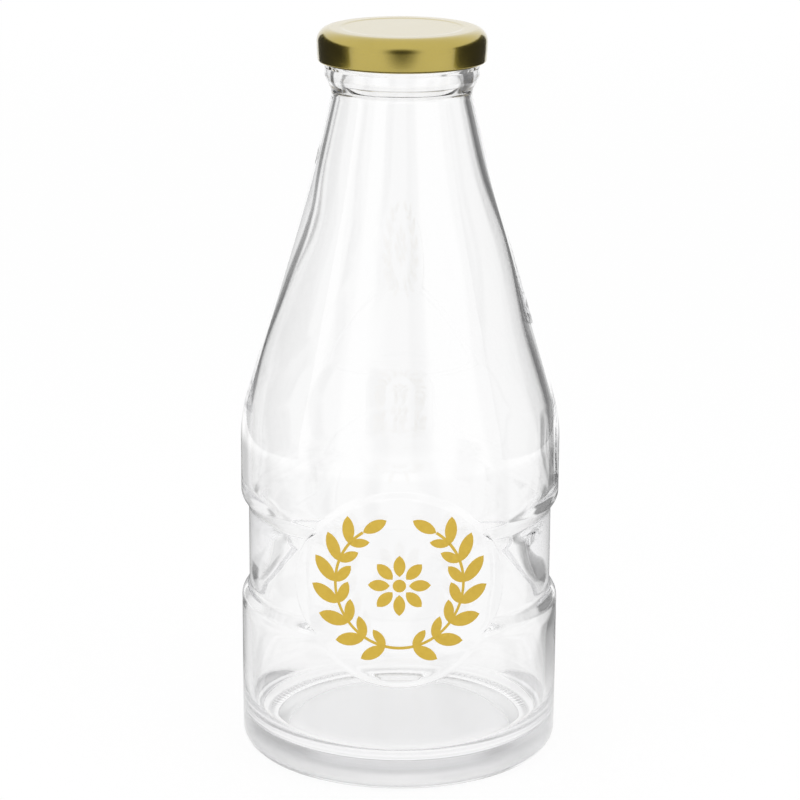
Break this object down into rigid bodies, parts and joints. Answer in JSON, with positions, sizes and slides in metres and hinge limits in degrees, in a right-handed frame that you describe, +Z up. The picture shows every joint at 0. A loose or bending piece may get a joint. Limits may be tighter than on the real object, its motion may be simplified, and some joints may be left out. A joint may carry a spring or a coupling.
{
  "type": "glass milk bottle",
  "caption": "Clear glass milk bottle with a recessed waist, round badge pads, a tapered neck and a gold twist-off lid that screws off.",
  "frame": {"origin": "centre of the base ring, on the surface that the bottle stands on", "axes": "+Z up along the bottle's axis, -Y out of the front badge pad, +X to the right seen from the front"},
  "size_m": [0.098, 0.0988, 0.2244],
  "materials": {
    "glass": "clear blown flint glass",
    "gold_lacquer": "gold lacquer on tinplate, semi-gloss",
    "seal": "smooth off-white sealing compound"
  },
  "bodies": {
    "bottle": {"glass_bottle": "glass"},
    "lid_seal": {"sealing_gasket": "seal"},
    "lid": {"lid_shell": "gold_lacquer"}
  },
  "joints": [
    {"name": "lid_lift", "type": "slide", "parent": "bottle", "child": "lid_seal", "axis": [0, 0, 1], "range_m": [0, 0.016]},
    {"name": "lid_twist", "type": "hinge", "parent": "lid_seal", "child": "lid", "pos_m": [0, 0, 0.2228], "axis": [0, 0, 1], "range_deg": [0, 360]}
  ],
  "couplings": [
    {"joint": "lid_lift", "follows": "lid_twist", "m_per_rad": 0.0025465}
  ]
}
